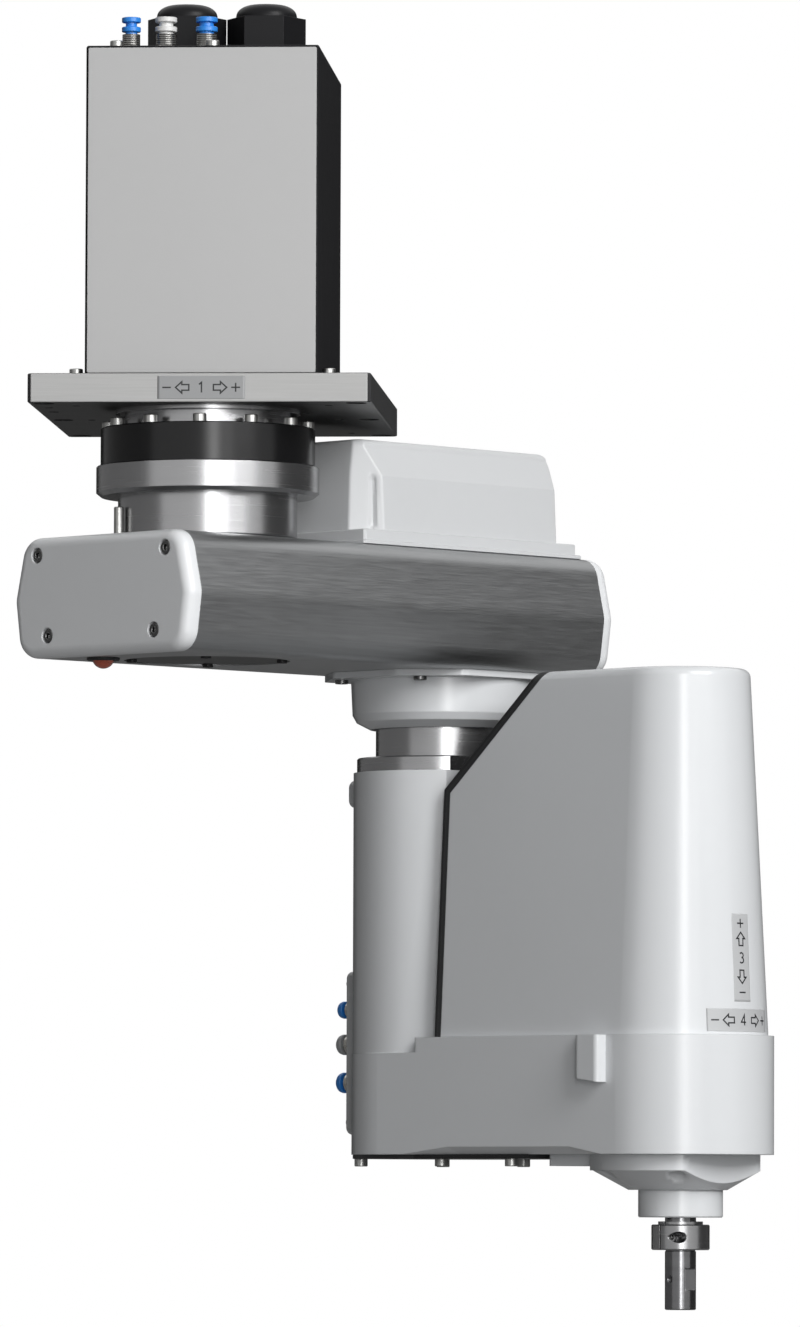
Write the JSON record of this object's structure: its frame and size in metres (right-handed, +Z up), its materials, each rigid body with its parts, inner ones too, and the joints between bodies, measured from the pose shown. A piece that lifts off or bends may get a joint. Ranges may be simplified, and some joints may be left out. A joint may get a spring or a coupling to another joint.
{
  "type": "scara robot",
  "caption": "Ceiling-mounted SCARA robot: a plate and motor box carry two full-turn arms and a hollow quill that turns and moves up and down.",
  "frame": {"origin": "centre of the mounting plate's rectangular bolt pattern, in the plane of its top face, which bolts against the ceiling frame", "axes": "+Z up out of the mounting face, +Y from the front of the base box to its back, +X to the right seen from the front; the first joint's axis stands at Y -50 mm"},
  "size_m": [0.3895, 0.3183, 0.6773],
  "materials": {
    "plate_steel": "satin plated steel, dark below",
    "box_black": "black powder coat",
    "panel_grey": "light grey satin",
    "screw_steel": "bright zinc",
    "gland_black": "moulded black",
    "fitting_metal": "nickel thread",
    "ring_blue": "blue",
    "ring_white": "white",
    "ring_grey": "grey",
    "motor_black": "black motor body",
    "turned_steel": "turned",
    "reducer_black": "black gloss",
    "arm_aluminium": "lengthwise brushed",
    "cap_grey": "light grey enamel",
    "lamp_red": "clear red dome",
    "arm_white": "off-white enamel",
    "cover_white": "off-white moulding",
    "seal_black": "black seal",
    "dark_plate": "black sheet",
    "quill_steel": "ground and hardened",
    "bearing_steel": "bearing steel",
    "pulley_aluminium": "anodised",
    "belt_rubber": "toothed belt"
  },
  "bodies": {
    "base": {"base_plate": "plate_steel", "base_cover": "box_black", "base_front_panel": "panel_grey", "base_screws": "screw_steel", "gland_bodies": "gland_black", "gland_nuts": "gland_black", "top_fittings": "fitting_metal", "j1_motor": "motor_black", "j1_adapter": "turned_steel", "j1_reducer_ring": "reducer_black", "j1_ring_screws": "screw_steel", "j1_bearing_housing": "turned_steel"},
    "top_ring_a": {"top_ring_a": "ring_blue"},
    "top_ring_b": {"top_ring_b": "ring_white"},
    "top_ring_c": {"top_ring_c": "ring_blue"},
    "arm1": {"arm1_extrusion": "arm_aluminium", "arm1_cap_rear": "cap_grey", "arm1_cap_front": "cap_grey", "arm1_cap_screws": "dark_plate", "j1_output_flange": "turned_steel", "stop_pin": "screw_steel", "arm1_access_cover": "dark_plate", "arm1_access_screws": "dark_plate", "lamp_lens": "lamp_red", "j2_motor_cover": "cap_grey", "j2_motor": "motor_black", "j2_reducer_cup": "arm_white", "j2_flange_screws": "screw_steel", "j2_gear_unit": "turned_steel"},
    "arm2": {"j2_output_tube": "turned_steel", "j2_adapter_ring": "turned_steel", "arm2_casting": "arm_white", "arm2_cover": "cover_white", "cover_seal": "seal_black", "cover_back_plate": "dark_plate", "rear_panel": "cap_grey", "rear_panel_screws": "screw_steel", "rear_fittings": "fitting_metal", "arm2_bottom_plate": "dark_plate", "arm2_under_screws": "screw_steel", "nut_housing": "arm_white", "nut_bearings": "bearing_steel", "nut_cover": "arm_white", "motor_plate": "pulley_aluminium", "arm2_motors": "motor_black", "u_belt": "belt_rubber", "z_belt": "belt_rubber"},
    "rear_ring_a": {"rear_ring_a": "ring_blue"},
    "rear_ring_b": {"rear_ring_b": "ring_grey"},
    "rear_ring_c": {"rear_ring_c": "ring_blue"},
    "u_nut": {"spline_nut": "bearing_steel", "u_pulley": "pulley_aluminium"},
    "z_nut": {"ball_nut": "bearing_steel", "z_pulley": "pulley_aluminium"},
    "u_rotor": {"u_motor_shaft": "pulley_aluminium"},
    "z_rotor": {"z_motor_shaft": "pulley_aluminium"},
    "quill": {"quill": "quill_steel", "stop_collar": "turned_steel", "collar_screw": "dark_plate"}
  },
  "joints": [
    {"name": "j1_swing", "type": "hinge", "parent": "base", "child": "arm1", "pos_m": [0, -0.05, 0], "axis": [0, 0, 1], "range_deg": [-274, 176]},
    {"name": "j2_swing", "type": "hinge", "parent": "arm1", "child": "arm2", "pos_m": [0.11481, 0.08207, -0.17], "axis": [0, 0, 1], "range_deg": [-133.75, 316.25]},
    {"name": "u_turn", "type": "hinge", "parent": "arm2", "child": "u_nut", "pos_m": [0.24435, -0.03559, -0.38], "axis": [0, 0, 1], "range_deg": [-720, 720]},
    {"name": "z_slide", "type": "slide", "parent": "u_nut", "child": "quill", "axis": [0, 0, -1], "range_m": [0, 0.13]},
    {"name": "ball_nut_turn", "type": "hinge", "parent": "u_nut", "child": "z_nut", "pos_m": [0.24435, -0.03559, -0.345], "axis": [0, 0, 1], "range_deg": [-10, 2935]},
    {"name": "u_motor_turn", "type": "hinge", "parent": "arm2", "child": "u_rotor", "pos_m": [0.17035, 0.03162, -0.36], "axis": [0, 0, 1], "range_deg": [-1445, 1445]},
    {"name": "z_motor_turn", "type": "hinge", "parent": "arm2", "child": "z_rotor", "pos_m": [0.20753, -0.00215, -0.35], "axis": [0, 0, 1], "range_deg": [-20, 5870]},
    {"name": "top_release_a", "type": "slide", "parent": "base", "child": "top_ring_a", "axis": [0, 0, -1], "range_m": [0, 0.0008], "stiffness_N_per_m": 500, "springref_m": -0.002},
    {"name": "top_release_b", "type": "slide", "parent": "base", "child": "top_ring_b", "axis": [0, 0, -1], "range_m": [0, 0.0008], "stiffness_N_per_m": 500, "springref_m": -0.002},
    {"name": "top_release_c", "type": "slide", "parent": "base", "child": "top_ring_c", "axis": [0, 0, -1], "range_m": [0, 0.0008], "stiffness_N_per_m": 500, "springref_m": -0.002},
    {"name": "rear_release_a", "type": "slide", "parent": "arm2", "child": "rear_ring_a", "axis": [0.7402, -0.6724, 0], "range_m": [0, 0.0012], "stiffness_N_per_m": 500, "springref_m": -0.002},
    {"name": "rear_release_b", "type": "slide", "parent": "arm2", "child": "rear_ring_b", "axis": [0.7402, -0.6724, 0], "range_m": [0, 0.0012], "stiffness_N_per_m": 500, "springref_m": -0.002},
    {"name": "rear_release_c", "type": "slide", "parent": "arm2", "child": "rear_ring_c", "axis": [0.7402, -0.6724, 0], "range_m": [0, 0.0012], "stiffness_N_per_m": 500, "springref_m": -0.002}
  ],
  "couplings": [
    {"joint": "ball_nut_turn", "follows": "z_slide", "rad_per_m": 392.7},
    {"joint": "z_motor_turn", "follows": "z_slide", "rad_per_m": 785.4},
    {"joint": "u_motor_turn", "follows": "u_turn", "ratio": 2}
  ]
}
